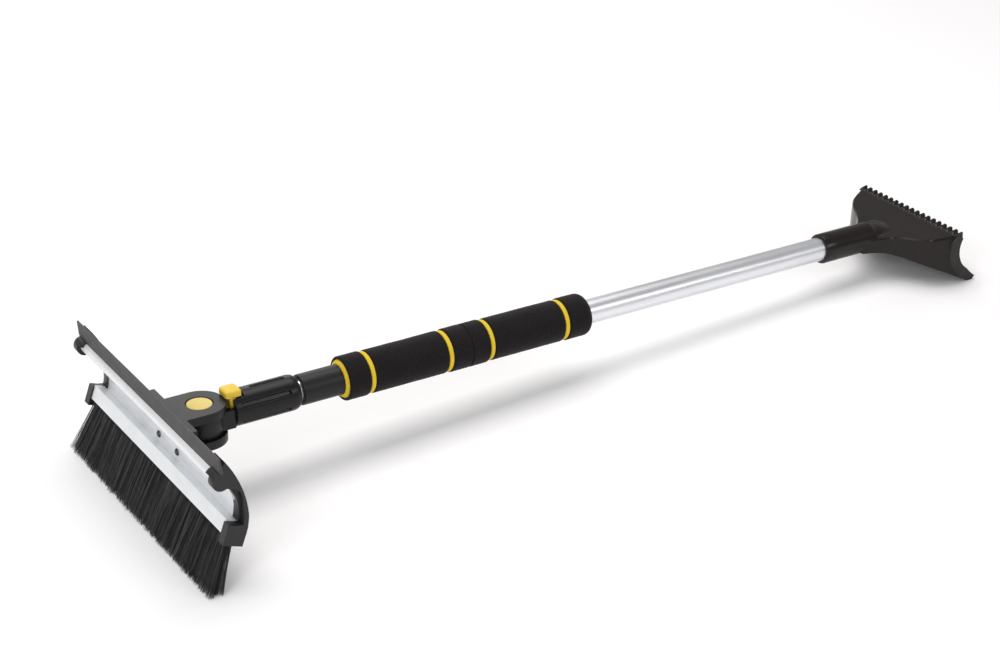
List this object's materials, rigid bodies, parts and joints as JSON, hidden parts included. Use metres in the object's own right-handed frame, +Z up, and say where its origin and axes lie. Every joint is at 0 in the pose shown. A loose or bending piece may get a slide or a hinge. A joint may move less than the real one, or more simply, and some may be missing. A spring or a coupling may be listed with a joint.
{
  "type": "snow brush scraper",
  "caption": "Telescopic snow brush with a swivelling squeegee and bristle head, two foam grips and a toothed ice scraper at the other end.",
  "frame": {"origin": "on the ground, at the middle of the level face that the bristle tips stand on", "axes": "+X along the pole from the brush head to the scraper, +Z up, +Y to the left of someone looking along +X"},
  "size_m": [0.8303, 0.275, 0.1137],
  "materials": {
    "satin_aluminium": "satin anodised, drawn along the tube",
    "painted_aluminium": "satin light grey-white powder coat",
    "black_bush": "satin moulded",
    "black_plastic": "fine moulded grain, satin",
    "sleeve_plastic": "satin moulded",
    "cap_plastic": "satin moulded",
    "scraper_plastic": "glossy moulded",
    "black_nylon": "matt",
    "white_nylon": "matt",
    "zinc_steel": "zinc plated",
    "black_rivet": "black zinc, satin",
    "yellow_plastic": "satin moulded",
    "pale_yellow_plastic": "satin moulded",
    "yellow_foam": "closed-cell foam",
    "black_foam": "closed-cell foam, ground",
    "blade_rubber": "smooth, matt",
    "bristle_fibre": "crimped synthetic filaments"
  },
  "bodies": {
    "pole": {"outer_tube": "satin_aluminium", "tube_bush": "black_bush", "foam_core_front": "yellow_foam", "foam_core_rear": "yellow_foam", "foam_band_front_end": "black_foam", "foam_grip_front": "black_foam", "foam_band_front_mid": "black_foam", "foam_band_rear_mid": "black_foam", "foam_grip_rear": "black_foam", "foam_band_rear_end": "black_foam", "scraper_head": "scraper_plastic", "scraper_screw": "zinc_steel"},
    "lock_ring": {"lock_ring": "white_nylon"},
    "inner_pole": {"inner_tube": "satin_aluminium", "lock_cam": "black_nylon", "lock_cam_rivet": "zinc_steel", "swivel_neck": "black_plastic", "neck_sleeve": "sleeve_plastic", "sleeve_screw": "zinc_steel"},
    "lock_slider": {"lock_slider": "yellow_plastic"},
    "head": {"bracket": "black_plastic", "pivot_bolt": "zinc_steel", "pivot_nut": "zinc_steel", "friction_washers": "white_nylon", "pivot_cap": "pale_yellow_plastic", "bracket_rivets": "black_rivet", "head_profile": "painted_aluminium", "squeegee_blade": "blade_rubber", "bristle_strip": "black_nylon", "bristles": "bristle_fibre", "end_cap_left": "cap_plastic", "end_cap_right": "cap_plastic", "end_cap_screws": "zinc_steel"}
  },
  "joints": [
    {"name": "pole_extend", "type": "slide", "parent": "pole", "child": "lock_ring", "axis": [-0.9989, 0, 0.0467], "range_m": [0, 0.35]},
    {"name": "pole_twist", "type": "hinge", "parent": "lock_ring", "child": "inner_pole", "pos_m": [0.05802, 0, 0.0715], "axis": [-0.9989, 0, 0.0467], "range_deg": [-90, 90]},
    {"name": "head_swivel", "type": "hinge", "parent": "inner_pole", "child": "head", "pos_m": [0.05802, 0, 0.0715], "axis": [0.0467, 0, 0.9989], "range_deg": [-90, 90]},
    {"name": "lock_slide", "type": "slide", "parent": "inner_pole", "child": "lock_slider", "axis": [-0.9989, 0, 0.0467], "range_m": [0, 0.0018]}
  ]
}
